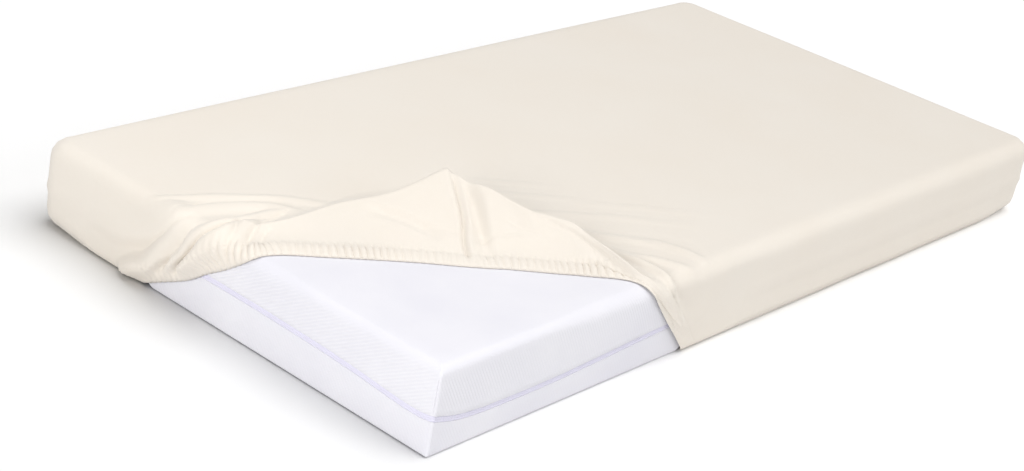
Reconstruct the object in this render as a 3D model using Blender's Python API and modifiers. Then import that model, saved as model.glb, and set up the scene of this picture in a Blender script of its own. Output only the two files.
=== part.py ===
"""A fitted sheet pulled off one corner of the cot mattress that it covers.

The mattress lies flat with its long side along X. Its bare corner is at -X, -Y. The sheet is one cloth:
a top panel with four sewn corners, skirts 0.15 m deep and an elastic hem. Three corners are on. The
fourth stands on the mattress as a small tent, and the hem runs taut across the corner and down both
sides. All of the cloth's places are worked out on the unfolded mattress: a is along X and b along Y,
and past an edge the cloth goes on down the side and then under.
"""

import math

import bmesh
import bpy
import numpy as np

# The mattress, in metres
LENGTH = 1.200
WIDTH = 0.600
HEIGHT = 0.100
COVERED_CORNER = 0.026
BARE_CORNER = 0.005
COVERED_EDGE = 0.017
BARE_EDGE = 0.011
CORNER_BOTTOM_EDGE = 0.022
SIDE_BOTTOM_EDGE = 0.012
BARE_BOTTOM_EDGE = 0.0035
LOWER_INSET = 0.0015
PIECE_GAP = 0.0003
TOP_EDGE_BARE_TO = 0.17
TOP_EDGE_COVERED_FROM = 0.24
LEAST_RADIUS = 0.0008

# Where the mattress's sections stand along its four sides, in order round it from the bare corner
FRONT_X = (-0.588, -0.578, -0.568, -0.556, -0.543, -0.525, -0.49, -0.44, -0.38, -0.32, -0.26, -0.22, -0.200,
           -0.186, -0.16, -0.10, 0.0, 0.12, 0.24, 0.36, 0.43, 0.465, 0.50, 0.53, 0.555)
RIGHT_Y = (-0.25, -0.225, -0.195, -0.16, -0.12, -0.04, 0.04, 0.12, 0.16, 0.195, 0.225, 0.25)
BACK_X = (0.555, 0.53, 0.50, 0.465, 0.43, 0.30, 0.15, 0.0, -0.15, -0.30, -0.43, -0.465, -0.50, -0.53, -0.555)
LEFT_Y = (0.25, 0.225, 0.195, 0.16, 0.135, 0.112, 0.098, 0.07, 0.035, 0.0, -0.05, -0.10, -0.15, -0.20, -0.25, -0.28)
RING_CORNER_STEPS = 6
TOP_ARC_STEPS = 5
BOTTOM_ARC_STEPS = 3

# The zip round the mattress
TAPE_HEIGHT = 0.0066
TAPE_DEPTH = 0.0045
TAPE_INSET = 0.0006
TAPE_CROWN = 0.0008
TAPE_CHAMFER = 0.0009
LIP_DEPTH = 0.0012
LIP_HEIGHT = 0.0015
REBATE = 0.0056
SPLIT_INSET = 0.016
SPLIT_HEIGHT = 0.040

# The cloth
CLOTH = 0.0015
SIDE_GAP = 0.0020
TOP_GAP = 0.0013
TUCK_ROOM = 0.0018
TUCK_ZONE = 0.068
TUCK_STEP = 0.008
TUCK_ENDS = 0.014
TUCKED_FROM_Y = 0.112
TUCKED_FROM_X = -0.186
FAN = 0.028
TOP_BEND = 0.017
CORNER_BOTTOM_BEND = 0.020
SIDE_BOTTOM_BEND = 0.006
ROUND_FROM = 0.02
ROUND_TO = 0.16
SKIRT = 0.150
BAND = 0.022
BAND_RISE = 0.0030
MOST_BAND = 0.45
MOST_FALL = 0.6
FALL_ROWS = 0.4
LEAST_UNDER = 0.08
LEAST_BEND_ROWS = 0.06
TINY = 1e-4
HEM_INSET = 0.049
HEM_CORNER = 0.045
FLAT_X = 0.450
FLAT_Y = 0.170
FLAT_CORNER = 0.012
SETTLED_BELOW = 0.008

# How finely the cloth is divided. The marks are the rows at the hem, at the two ends of the bottom
# bend, at the panel's edge, at the far end of the top bend, at the shoulder and on the flat top.
ROW_MARKS = (0, 3, 5, 11, 15, 19, 28)
COVERED_ROWS = (0, 1, 3, 4, 5, 7, 9, 11, 12, 13, 14, 15, 17, 19, 23, 28)
OPEN_STATIONS = 66
CORNER_STATIONS = 5
CLOTH_FRONT_SHARES = (0.14, 0.30, 0.46, 0.62, 0.76, 0.82, 0.88, 0.94)
CLOTH_RIGHT_SHARES = (0.06, 0.12, 0.18, 0.25, 0.42, 0.58, 0.75, 0.82, 0.88, 0.94)
CLOTH_BACK_SHARES = (0.03, 0.06, 0.09, 0.12, 0.25, 0.42, 0.58, 0.75, 0.88, 0.91, 0.94, 0.97)
CLOTH_LEFT_SHARES = (0.33, 0.67)
SHOULDER = 0.045

CLOTH_TOP = HEIGHT + TOP_GAP
CLOTH_FLOOR = CLOTH
CORE_X = LENGTH / 2 + SIDE_GAP - FAN
CORE_Y = WIDTH / 2 + SIDE_GAP - FAN
TURN = FAN - TOP_BEND
EDGE_END = TOP_BEND * math.pi / 2

# The open corner, a row for each section across the cloth, from the left side to the front one.
# hem_a, hem_b: the hem. edge_a, edge_b: the top panel's edge, and how far it rises above the mattress.
# roll: how far the skirt is drawn back under the edge. fall: where the cloth is down again behind it.
# free: 0 where the cloth lies as on a covered side, 1 where it is pulled up.
# inner_a, inner_b: where the cloth lies flat.
SECTION_COLUMNS = ("hem_a", "hem_b", "edge_a", "edge_b", "rise", "roll", "fall", "free", "inner_a", "inner_b")
LEFT_SECTIONS = (
    (-0.735, 0.215, -0.612, 0.212, 0.000, 0.000, 0.060, 0.0, -0.432, 0.150),
    (-0.727, 0.185, -0.610, 0.180, 0.000, 0.000, 0.060, 0.0, -0.416, 0.143),
    (-0.711, 0.160, -0.608, 0.150, 0.000, 0.000, 0.060, 0.0, -0.403, 0.138),
    (-0.693, 0.122, -0.604, 0.116, 0.001, 0.000, 0.060, 0.3, -0.391, 0.133),
    (-0.676, 0.087, -0.600, 0.084, 0.002, 0.000, 0.060, 0.8, -0.380, 0.128),
    (-0.659, 0.053, -0.594, 0.060, 0.003, 0.000, 0.060, 1.0, -0.369, 0.123),
    (-0.640, 0.026, -0.584, 0.040, 0.004, 0.000, 0.060, 1.0, -0.358, 0.118),
    (-0.618, -0.008, -0.572, 0.020, 0.005, 0.000, 0.060, 1.0, -0.345, 0.112),
    (-0.596, -0.033, -0.557, 0.007, 0.007, 0.000, 0.060, 1.0, -0.333, 0.106),
    (-0.566, -0.047, -0.538, 0.000, 0.010, 0.000, 0.062, 1.0, -0.319, 0.098),
    (-0.530, -0.073, -0.505, -0.005, 0.013, 0.000, 0.068, 1.0, -0.303, 0.090),
    (-0.494, -0.099, -0.455, -0.010, 0.018, 0.000, 0.080, 1.0, -0.284, 0.079),
    (-0.452, -0.131, -0.403, -0.038, 0.032, 0.000, 0.095, 1.0, -0.260, 0.065),
    (-0.412, -0.165, -0.339, -0.053, 0.053, 0.000, 0.115, 1.0, -0.234, 0.049),
)
RIGHT_SECTIONS = (
    (-0.412, -0.165, -0.339, -0.053, 0.053, 0.000, 0.115, 1.0, -0.234, 0.049),
    (-0.398, -0.176, -0.331, -0.069, 0.047, 0.000, 0.110, 1.0, -0.225, 0.040),
    (-0.378, -0.190, -0.319, -0.111, 0.043, 0.000, 0.100, 1.0, -0.214, 0.030),
    (-0.350, -0.214, -0.307, -0.153, 0.036, 0.001, 0.075, 1.0, -0.192, 0.010),
    (-0.336, -0.226, -0.293, -0.163, 0.032, 0.001, 0.070, 1.0, -0.181, 0.000),
    (-0.322, -0.237, -0.282, -0.178, 0.030, 0.001, 0.060, 1.0, -0.170, -0.010),
    (-0.312, -0.246, -0.276, -0.191, 0.028, 0.002, 0.055, 1.0, -0.162, -0.018),
    (-0.302, -0.254, -0.274, -0.211, 0.023, 0.003, 0.052, 1.0, -0.155, -0.026),
    (-0.288, -0.266, -0.271, -0.239, 0.017, 0.003, 0.050, 1.0, -0.143, -0.038),
    (-0.279, -0.277, -0.266, -0.257, 0.011, 0.001, 0.050, 1.0, -0.134, -0.048),
    (-0.274, -0.290, -0.262, -0.275, 0.007, 0.000, 0.050, 1.0, -0.124, -0.056),
    (-0.266, -0.303, -0.252, -0.288, 0.005, 0.000, 0.050, 1.0, -0.114, -0.064),
    (-0.250, -0.323, -0.236, -0.306, 0.005, 0.000, 0.050, 1.0, -0.098, -0.076),
    (-0.226, -0.350, -0.208, -0.328, 0.004, 0.000, 0.055, 1.0, -0.078, -0.089),
    (-0.207, -0.370, -0.186, -0.342, 0.003, 0.000, 0.060, 0.8, -0.062, -0.097),
    (-0.190, -0.389, -0.164, -0.330, 0.003, 0.000, 0.060, 0.5, -0.046, -0.102),
    (-0.169, -0.411, -0.139, -0.318, 0.003, 0.000, 0.060, 0.2, -0.028, -0.108),
    (-0.140, -0.427, -0.110, -0.313, 0.002, 0.000, 0.070, 0.0, 0.000, -0.113),
    (-0.100, -0.435, -0.070, -0.312, 0.000, 0.000, 0.070, 0.0, 0.030, -0.116),
)

# The folds, a row for each: the height, the width on the side away from the hem and on the hem's side,
# and five places along the crest, each with the share of the height that the fold has there.
FOLDS = {
    "side_swell": (0.007, 0.022, 0.010, (
        (-0.652, 0.222, 0.0), (-0.648, 0.170, 0.8), (-0.636, 0.129, 1.0), (-0.610, 0.090, 1.0),
        (-0.580, 0.074, 0.0))),
    "outer_pleat": (0.0095, 0.007, 0.014, (
        (-0.692, 0.152, 0.2), (-0.674, 0.127, 1.0), (-0.648, 0.098, 1.0), (-0.614, 0.073, 0.8),
        (-0.590, 0.060, 0.0))),
    "middle_pleat": (0.0080, 0.006, 0.005, (
        (-0.658, 0.084, 0.3), (-0.640, 0.065, 1.0), (-0.615, 0.048, 1.0), (-0.592, 0.031, 0.8),
        (-0.540, 0.030, 0.3))),
    "inner_pleat": (0.0095, 0.006, 0.012, (
        (-0.650, 0.062, 0.3), (-0.629, 0.042, 1.0), (-0.604, 0.025, 1.0), (-0.575, 0.017, 0.7),
        (-0.530, 0.017, 0.0))),
    "main_arc": (0.0050, 0.006, 0.012, (
        (-0.604, 0.080, 0.2), (-0.578, 0.075, 1.0), (-0.540, 0.066, 1.0), (-0.502, 0.046, 0.8),
        (-0.474, 0.012, 0.0))),
    "second_edge": (0.0040, 0.005, 0.008, (
        (-0.244, -0.226, 0.0), (-0.243, -0.258, 1.0), (-0.241, -0.292, 1.0), (-0.230, -0.318, 1.0),
        (-0.210, -0.352, 0.0))),
    "drawn_ridge": (0.0040, 0.010, 0.012, (
        (-0.240, -0.152, 0.0), (-0.217, -0.193, 0.7), (-0.186, -0.222, 0.8), (-0.168, -0.258, 1.0),
        (-0.166, -0.304, 0.0))),
    "seam_ridge": (0.0020, 0.007, 0.008, (
        (-0.322, -0.052, 0.0), (-0.344, -0.084, 1.0), (-0.364, -0.114, 1.0), (-0.386, -0.141, 0.8),
        (-0.398, -0.160, 0.0))),
}
FOLD_STEPS = 28

ZIP_ROUND = ((-0.600, -0.300, 0.0440), (-0.588, -0.300, 0.0412), (-0.573, -0.300, 0.0372),
             (-0.556, -0.300, 0.0342), (-0.522, -0.300, 0.0315), (-0.460, -0.300, 0.0309),
             (-0.400, -0.300, 0.0318), (-0.330, -0.300, 0.0350), (-0.260, -0.300, 0.0388),
             (-0.150, -0.300, 0.0435), (0.000, -0.300, 0.0470), (0.600, -0.300, 0.0480),
             (0.600, 0.300, 0.0480), (-0.600, 0.300, 0.0480), (-0.600, 0.050, 0.0502),
             (-0.600, -0.050, 0.0502), (-0.600, -0.150, 0.0482), (-0.600, -0.200, 0.0455),
             (-0.600, -0.235, 0.0428), (-0.600, -0.262, 0.0411), (-0.600, -0.282, 0.0413),
             (-0.600, -0.300, 0.0440))


def clear_scene():
    for thing in list(bpy.data.objects):
        bpy.data.objects.remove(thing, do_unlink=True)


def make_material(name, colour, roughness):
    """One plain fabric or plastic finish."""
    material = bpy.data.materials.new(name)
    material.use_nodes = True
    shader = material.node_tree.nodes["Principled BSDF"]
    shader.inputs["Base Color"].default_value = (*colour, 1.0)
    shader.inputs["Roughness"].default_value = roughness
    shader.inputs["Metallic"].default_value = 0.0
    return material


def finish(name, mesh, collection, material):
    """Turns a bmesh into a smooth-shaded object in its collection."""
    bmesh.ops.recalc_face_normals(mesh, faces=mesh.faces)
    data = bpy.data.meshes.new(name)
    mesh.to_mesh(data)
    mesh.free()
    data.shade_smooth()
    thing = bpy.data.objects.new(name, data)
    collection.objects.link(thing)
    data.materials.append(material)
    return thing


def bridge(mesh, first, second):
    """Joins two rings of the same count with a band of faces."""
    for start, end, far_end, far_start in zip(first, first[1:] + first[:1], second[1:] + second[:1], second):
        mesh.faces.new((start, end, far_end, far_start))


# The mattress

def smooth_step(value, low, high):
    share = np.clip((value - low) / (high - low), 0.0, 1.0)
    return share * share * (3.0 - 2.0 * share)


def corner_radius(corner):
    return BARE_CORNER if corner == (-1, -1) else COVERED_CORNER


def ring_places():
    """Where the stations stand round a mattress outline: the corner each belongs to, the next corner,
    the share of the way to it, and the turn of the station's outward direction."""
    corners = ((-1, -1), (1, -1), (1, 1), (-1, 1))
    sides = (FRONT_X, RIGHT_Y, BACK_X, LEFT_Y)
    places = []
    for index, (corner, side) in enumerate(zip(corners, sides)):
        turn = math.radians(180 + 90 * index)
        for step in range(RING_CORNER_STEPS + 1):
            places.append((corner, corner, 0.0, turn + math.radians(90) * step / RING_CORNER_STEPS))
        following = corners[(index + 1) % 4]
        axis = index % 2
        half = (LENGTH / 2, WIDTH / 2)[axis]
        start, end = (one[axis] * (half - corner_radius(one)) for one in (corner, following))
        for where in side:
            places.append((corner, following, (where - start) / (end - start), turn + math.radians(90)))
    return places


def ring_point(place, inset):
    """A point of the outline that lies inset inside the mattress's own."""
    corner, following, share, turn = place
    ends = []
    for one in (corner, following):
        radius = max(corner_radius(one) - inset, LEAST_RADIUS)
        ends.append((one[0] * (LENGTH / 2 - inset - radius), one[1] * (WIDTH / 2 - inset - radius), radius))
    core_x, core_y, radius = (start + (end - start) * share for start, end in zip(*ends))
    return core_x + radius * math.cos(turn), core_y + radius * math.sin(turn)


def bareness(x, y):
    """1 at the bare corner, and 0 where the sheet covers the mattress."""
    away = np.hypot(x + LENGTH / 2, y + WIDTH / 2)
    return float(1.0 - smooth_step(away, TOP_EDGE_BARE_TO, TOP_EDGE_COVERED_FROM))


def near_covered_corner(x, y):
    """1 at the three covered corners, and 0 away from them."""
    near = np.zeros(np.broadcast(x, y).shape)
    for corner_x, corner_y in ((1, -1), (1, 1), (-1, 1)):
        away = np.hypot(x - corner_x * LENGTH / 2, y - corner_y * WIDTH / 2)
        near = np.maximum(near, 1.0 - smooth_step(away, ROUND_FROM, ROUND_TO))
    return near


def zip_height(x, y):
    """The height of the zip's middle, read along the sides from its few named places."""
    best = None
    for (x0, y0, z0), (x1, y1, z1) in zip(ZIP_ROUND, ZIP_ROUND[1:]):
        span = math.hypot(x1 - x0, y1 - y0)
        share = ((x - x0) * (x1 - x0) + (y - y0) * (y1 - y0)) / span**2
        share = min(max(share, 0.0), 1.0)
        away = math.hypot(x - x0 - share * (x1 - x0), y - y0 - share * (y1 - y0))
        if best is None or away < best[0]:
                best = (away, z0 + (z1 - z0) * share)
    return best[1]


def arc_steps(count):
    return [math.radians(90) * step / count for step in range(count + 1)]


def upper_section(place):
    """The upper half's section at one station, as (inset, height), from its split to its top."""
    x, y = ring_point(place, 0.0)
    edge = COVERED_EDGE + (BARE_EDGE - COVERED_EDGE) * bareness(x, y)
    low = zip_height(x, y) + TAPE_HEIGHT / 2
    rows = [(SPLIT_INSET, SPLIT_HEIGHT + PIECE_GAP), (REBATE, low), (LIP_DEPTH, low), (0.0, low + LIP_HEIGHT)]
    for angle in arc_steps(TOP_ARC_STEPS):
        rows.append((edge * (1.0 - math.cos(angle)), HEIGHT - edge * (1.0 - math.sin(angle))))
    return rows


def lower_section(place):
    """The lower half's section, from its flat underside to its split."""
    x, y = ring_point(place, 0.0)
    past_hem = max(y - TUCKED_FROM_Y, x - TUCKED_FROM_X)
    floor = TUCK_ROOM * float(smooth_step(past_hem, -TUCK_ENDS, 0.0))
    high = zip_height(x, y) - TAPE_HEIGHT / 2
    edge = BARE_BOTTOM_EDGE
    edge += (SIDE_BOTTOM_EDGE - edge) * float(smooth_step(past_hem, -TUCK_ENDS, 0.0))
    edge += (CORNER_BOTTOM_EDGE - edge) * float(near_covered_corner(x, y))
    rows = [(TUCK_ZONE + TUCK_STEP, 0.0), (TUCK_ZONE, floor)]
    for angle in arc_steps(BOTTOM_ARC_STEPS):
        rows.append((LOWER_INSET + edge * (1.0 - math.sin(angle)), floor + edge * (1.0 - math.cos(angle))))
    rows += [(LOWER_INSET, high - LIP_HEIGHT), (LOWER_INSET + LIP_DEPTH, high), (REBATE, high)]
    rows.append((SPLIT_INSET, SPLIT_HEIGHT))
    return rows


def tape_section(place):
    """The zip's section: a strip with a low crown, a little inside the mattress's face."""
    x, y = ring_point(place, 0.0)
    middle = zip_height(x, y)
    half = TAPE_HEIGHT / 2 - PIECE_GAP
    back = TAPE_INSET + TAPE_DEPTH
    edge = TAPE_INSET + TAPE_CHAMFER
    return [(back, middle - half), (edge, middle - half), (TAPE_INSET, middle - half / 2),
            (TAPE_INSET - TAPE_CROWN, middle), (TAPE_INSET, middle + half / 2),
            (edge, middle + half), (back, middle + half)]


def mattress_piece(name, section, closed_tube, collection, material):
    """Lofts one piece of the mattress from the sections round its outline."""
    mesh = bmesh.new()
    places = ring_places()
    columns = []
    for place in places:
        column = []
        for inset, height in section(place):
            x, y = ring_point(place, inset)
            column.append(mesh.verts.new((x, y, height)))
        columns.append(column)
    rings = [list(ring) for ring in zip(*columns)]
    for first, second in zip(rings, rings[1:]):
        bridge(mesh, first, second)
    if closed_tube:
        bridge(mesh, rings[-1], rings[0])
    else:
        mesh.faces.new(rings[0])
        mesh.faces.new(rings[-1])
    return finish(name, mesh, collection, material)


# The cloth

def lower_edge(x, y):
    """The bend at the cloth's lower edge, and how far past the top edge it starts and ends."""
    bend = SIDE_BOTTOM_BEND + (CORNER_BOTTOM_BEND - SIDE_BOTTOM_BEND) * near_covered_corner(x, y)
    start = EDGE_END + CLOTH_TOP - CLOTH_FLOOR - TOP_BEND - bend
    return bend, start, start + bend * math.pi / 2


def wrap(a, b):
    """Lays a place on the unfolded mattress round its edges. Gives the point of the cloth's inner face
    and the outward direction there."""
    a, b = np.asarray(a, float), np.asarray(b, float)
    core_a = np.clip(a, -CORE_X, CORE_X)
    core_b = np.clip(b, -CORE_Y, CORE_Y)
    bend, side_end, under_start = lower_edge(core_a, core_b)
    reach = np.hypot(a - core_a, b - core_b)
    safe = np.maximum(reach, 1e-9)
    way = np.stack([(a - core_a) / safe, (b - core_b) / safe], -1)
    past = reach - TURN
    edge = np.clip(past, 0.0, EDGE_END) / TOP_BEND
    side = np.clip(past - EDGE_END, 0.0, side_end - EDGE_END)
    foot = np.clip((past - side_end) / bend, 0.0, math.pi / 2)
    under = np.maximum(past - under_start, 0.0)
    out = TOP_BEND * np.sin(edge) - bend * (1.0 - np.cos(foot)) - under
    drop = TOP_BEND * (1.0 - np.cos(edge)) + side + bend * np.sin(foot)
    tilt = math.pi / 2 - edge - foot
    radius = (TURN + out)[..., None]
    flat = np.stack([a, b], -1)
    beyond = (past > 0.0)[..., None]
    plan = np.where(beyond, np.stack([core_a, core_b], -1) + way * radius, flat)
    point = np.concatenate([plan, (CLOTH_TOP - drop)[..., None]], -1)
    level = np.where(beyond, way * np.cos(tilt)[..., None], 0.0)
    rise = np.where(past > 0.0, np.sin(tilt), 1.0)
    return point, np.concatenate([level, rise[..., None]], -1)


def spline(values, where):
    """A smooth curve through the rows of a table, read at fractions of the way along it."""
    values = np.asarray(values, float)
    last = len(values) - 1
    position = np.clip(where, 0.0, 1.0) * last
    index = np.minimum(position.astype(int), last - 1)
    share = (position - index)[:, None]
    before = values[np.maximum(index - 1, 0)]
    start, end = values[index], values[index + 1]
    after = values[np.minimum(index + 2, last)]
    before = np.where((index == 0)[:, None], 2 * start - end, before)
    after = np.where((index == last - 1)[:, None], 2 * end - start, after)
    leave, arrive = (end - before) / 2, (after - start) / 2
    return (
        start * (1 + 2 * share) * (1 - share) ** 2 + leave * share * (1 - share) ** 2
        + end * share**2 * (3 - 2 * share) + arrive * share**2 * (share - 1)
    )


def past_edge(a, b):
    """How far over the mattress's edge a place on the unfolded mattress lies."""
    return np.hypot(a - np.clip(a, -CORE_X, CORE_X), b - np.clip(b, -CORE_Y, CORE_Y)) - TURN


def row_distances(rows, sections):
    """How far each row lies from the hem, along the first leg to the panel's edge and the second to
    the flat cloth. Covered sections keep rows for the bends, and free ones for the band and folds."""
    first = np.hypot(sections["edge_a"] - sections["hem_a"], sections["edge_b"] - sections["hem_b"])
    second = np.hypot(sections["inner_a"] - sections["edge_a"], sections["inner_b"] - sections["edge_b"])
    low = past_edge(sections["hem_a"], sections["hem_b"])
    high = past_edge(sections["edge_a"], sections["edge_b"])
    _, side_ends, under_starts = lower_edge(np.clip(sections["hem_a"], -CORE_X, CORE_X),
                                            np.clip(sections["hem_b"], -CORE_Y, CORE_Y))
    near = np.zeros((len(first), len(rows)))
    far = np.zeros_like(near)
    for index, (reach, rest) in enumerate(zip(first, second)):
        free = sections["free"][index]
        fall = min(sections["fall"][index], rest * MOST_FALL)
        climb = max(low[index] - high[index], TINY)
        under = max((low[index] - under_starts[index]) / climb, LEAST_UNDER)
        side = max((low[index] - side_ends[index]) / climb, under + LEAST_BEND_ROWS)
        covered = np.interp(rows, ROW_MARKS[:4], (0.0, under, side, 1.0))
        band = min(BAND / reach, MOST_BAND)
        loose = np.interp(rows, (ROW_MARKS[0], ROW_MARKS[1], ROW_MARKS[3]), (0.0, band, 1.0))
        near[index] = reach * (covered * (1 - free) + loose * free)
        covered = np.interp(rows, ROW_MARKS[3:], (0.0, EDGE_END, EDGE_END + SHOULDER, rest))
        loose = np.interp(rows, ROW_MARKS[3:], (0.0, fall * FALL_ROWS, fall, rest))
        far[index] = covered * (1 - free) + loose * free
    return first, second, near, far


def fold_lift(a, b):
    """The height that all the folds add at a place on the unfolded mattress."""
    lift = np.zeros(np.shape(a))
    for height, far, near, path in FOLDS.values():
        line = spline(path, np.linspace(0.0, 1.0, FOLD_STEPS))
        away_a = a[..., None] - line[:, 0]
        away_b = b[..., None] - line[:, 1]
        away = np.hypot(away_a, away_b)
        nearest = away.argmin(-1)
        run = np.gradient(line[:, :2], axis=0)[nearest]
        picked = nearest[..., None]
        side_a = np.take_along_axis(away_a, picked, -1)[..., 0]
        side_b = np.take_along_axis(away_b, picked, -1)[..., 0]
        left_of_run = run[..., 0] * side_b - run[..., 1] * side_a > 0
        width = np.where(left_of_run, far, near)
        lift += height * line[nearest, 2] * np.exp(-((away.min(-1) / width) ** 2))
    return lift


def open_corner(count, rows):
    """The cloth's inner face at the open corner, as a grid of points: a column for each section."""
    halves = []
    for table in (LEFT_SECTIONS, RIGHT_SECTIONS):
        halves.append(spline(table, np.linspace(0.0, 1.0, count // 2 + 1)))
    values = np.concatenate([halves[0], halves[1][1:]])
    sections = dict(zip(SECTION_COLUMNS, values.T))
    first, second, near, far = row_distances(rows, sections)
    toward = near / first[:, None]
    beyond = far / second[:, None]
    hem, edge, inner = (np.stack([sections[f"{name}_a"], sections[f"{name}_b"]], -1)[:, None, :]
                        for name in ("hem", "edge", "inner"))
    place = hem + (edge - hem) * toward[..., None] + (inner - edge) * beyond[..., None]
    rise = sections["rise"][:, None]
    fall = np.minimum(sections["fall"], second * MOST_FALL)[:, None]
    roll = sections["roll"][:, None]
    free = sections["free"][:, None]
    own_band = np.minimum(BAND, first * MOST_BAND)[:, None]
    front = np.clip((near - own_band) / (first[:, None] - own_band), 0.0, 1.0)
    band = BAND_RISE * free * np.sin(np.clip(near / own_band, 0.0, 1.0) * math.pi / 2)
    behind = np.clip(1.0 - far / fall, 0.0, 1.0) ** 2
    before_edge = rows[None, :] <= ROW_MARKS[3]
    lift = np.where(before_edge, band * (1 - front) + rise * front, rise * behind)
    drawn = roll * np.sin(math.pi * front) * before_edge
    inward = (inner - hem) / np.linalg.norm(inner - hem, axis=-1, keepdims=True)
    place = place + inward * drawn[..., None]
    settle = smooth_step(near, 0.0, own_band)
    lift = lift + fold_lift(place[..., 0], place[..., 1]) * settle
    point, outward = wrap(place[..., 0], place[..., 1])
    lift = np.maximum(lift, 0.0) * smooth_step(point[..., 2], CLOTH_FLOOR, SETTLED_BELOW)
    return point + outward * lift[..., None]


def covered_stations():
    """The stations from the front side, round three corners, to the left side. Each is the middle of
    its bend on top, the same under the mattress, the direction outwards, and its flat place on top."""
    reach_x = LENGTH / 2 + SIDE_GAP - HEM_INSET - HEM_CORNER
    reach_y = WIDTH / 2 + SIDE_GAP - HEM_INSET - HEM_CORNER
    front, left = RIGHT_SECTIONS[-1], LEFT_SECTIONS[0]
    posts = (
        ((front[2], -CORE_Y), (front[0], -reach_y), front[8:10], CLOTH_FRONT_SHARES),
        ((CORE_X, -CORE_Y), (reach_x, -reach_y), (FLAT_X, -FLAT_Y), CLOTH_RIGHT_SHARES),
        ((CORE_X, CORE_Y), (reach_x, reach_y), (FLAT_X, FLAT_Y), CLOTH_BACK_SHARES),
        ((-CORE_X, CORE_Y), (-reach_x, reach_y), (-FLAT_X, FLAT_Y), CLOTH_LEFT_SHARES),
        ((-CORE_X, left[3]), (-reach_x, left[1]), left[8:10], ()),
    )
    posts = [tuple(np.array(place) for place in post[:3]) + (post[3],) for post in posts]
    stations = []
    for index, (post, following) in enumerate(zip(posts, posts[1:])):
        if index:
            for step in range(CORNER_STATIONS + 1):
                turn = math.radians(90 * (index - 2) + 90 * step / CORNER_STATIONS)
                way = np.array([math.cos(turn), math.sin(turn)])
                stations.append((post[0], post[1], way, post[2] + way * FLAT_CORNER))
        turn = math.radians(90 * (index - 1))
        way = np.array([math.cos(turn), math.sin(turn)])
        leave = way * FLAT_CORNER if index else way * 0.0
        arrive = way * FLAT_CORNER if index < 3 else way * 0.0
        for share in post[3]:
            core, under, flat = (post[part] * (1 - share) + following[part] * share for part in range(3))
            stations.append((core, under, way, flat + leave * (1 - share) + arrive * share))
    return stations


def covered_sides(rows):
    """The covered sides' inner face, as a grid of points: each column runs from the hem under the
    mattress, up the side, to the flat top."""
    grid = []
    for core, under, way, flat in covered_stations():
        line = core + way * TURN
        bend, side_end, under_start = lower_edge(*core)
        tuck = SKIRT - under_start
        foot = core + way * (FAN - bend)
        hem = under + way * HEM_CORNER
        rest = np.linalg.norm(flat - line)
        marks = (0.0, tuck, SKIRT - side_end, SKIRT - EDGE_END, SKIRT, SKIRT + SHOULDER, SKIRT + rest)
        column = []
        for distance in np.interp(rows, ROW_MARKS, marks):
            if distance < tuck:
                plan = hem + (foot - hem) * distance / tuck
                column.append((*plan, CLOTH_FLOOR))
            elif distance <= SKIRT:
                column.append(tuple(wrap(*(line + way * (SKIRT - distance)))[0]))
            else:
                plan = line + (flat - line) * (distance - SKIRT) / rest
                column.append((*plan, CLOTH_TOP))
        grid.append(column)
    return np.array(grid)


def fitted_sheet(collection, material):
    """The whole sheet: a thin open surface over the mattress, given the cloth's thickness outwards."""
    mesh = bmesh.new()
    open_rows = np.arange(ROW_MARKS[-1] + 1)
    covered_rows = np.array(COVERED_ROWS)
    opened = open_corner(OPEN_STATIONS, open_rows)
    covered = covered_sides(covered_rows)
    open_columns = [[mesh.verts.new(point) for point in column] for column in opened]
    covered_columns = [[mesh.verts.new(point) for point in column] for column in covered]
    for columns in (open_columns, covered_columns):
        for left, right in zip(columns, columns[1:]):
            for row in range(len(left) - 1):
                mesh.faces.new((left[row], right[row], right[row + 1], left[row + 1]))
    for open_column, covered_column in ((open_columns[-1], covered_columns[0]),
                                        (open_columns[0], covered_columns[-1])):
        for index, (low, high) in enumerate(zip(COVERED_ROWS, COVERED_ROWS[1:])):
            corners = open_column[low:high + 1] + [covered_column[index + 1], covered_column[index]]
            mesh.faces.new(corners)
    mesh.faces.new([column[-1] for column in open_columns + covered_columns])
    thing = finish("fitted_sheet", mesh, collection, material)
    cloth = thing.modifiers.new("Cloth", "SOLIDIFY")
    cloth.thickness = CLOTH
    cloth.offset = 1.0
    cloth.use_quality_normals = True
    cloth.use_rim = True
    return thing


def main():
    clear_scene()
    collection = bpy.data.collections.new("sheet_on_cot_mattress")
    bpy.context.scene.collection.children.link(collection)
    jersey = make_material("cream_jersey", (0.86, 0.80, 0.72), 0.9)
    knit = make_material("white_mattress_knit", (0.90, 0.90, 0.94), 0.85)
    nylon = make_material("lilac_nylon_zip", (0.74, 0.74, 0.86), 0.5)
    mattress_piece("mattress_upper", upper_section, False, collection, knit)
    mattress_piece("mattress_lower", lower_section, False, collection, knit)
    mattress_piece("zip_tape", tape_section, True, collection, nylon)
    fitted_sheet(collection, jersey)


main()
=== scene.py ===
import math

import bpy
import numpy as np
from mathutils import Matrix, Vector


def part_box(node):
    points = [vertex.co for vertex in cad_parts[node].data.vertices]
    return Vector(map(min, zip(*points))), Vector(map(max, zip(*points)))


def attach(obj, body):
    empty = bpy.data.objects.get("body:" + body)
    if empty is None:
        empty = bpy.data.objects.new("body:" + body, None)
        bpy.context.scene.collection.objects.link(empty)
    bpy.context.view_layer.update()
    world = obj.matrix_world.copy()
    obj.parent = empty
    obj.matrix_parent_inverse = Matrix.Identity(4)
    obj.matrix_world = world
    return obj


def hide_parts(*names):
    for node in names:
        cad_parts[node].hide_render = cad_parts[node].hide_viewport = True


# A cream jersey fitted sheet on a white cot mattress, with one corner pulled off. The bare corner is at
# -X, -Y. The cloth's places are on the unfolded mattress: a is along X and b along Y, and past an edge the
# cloth goes on down the side and then under. Sizes are metres, but lengths in the tables are millimetres.

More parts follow.
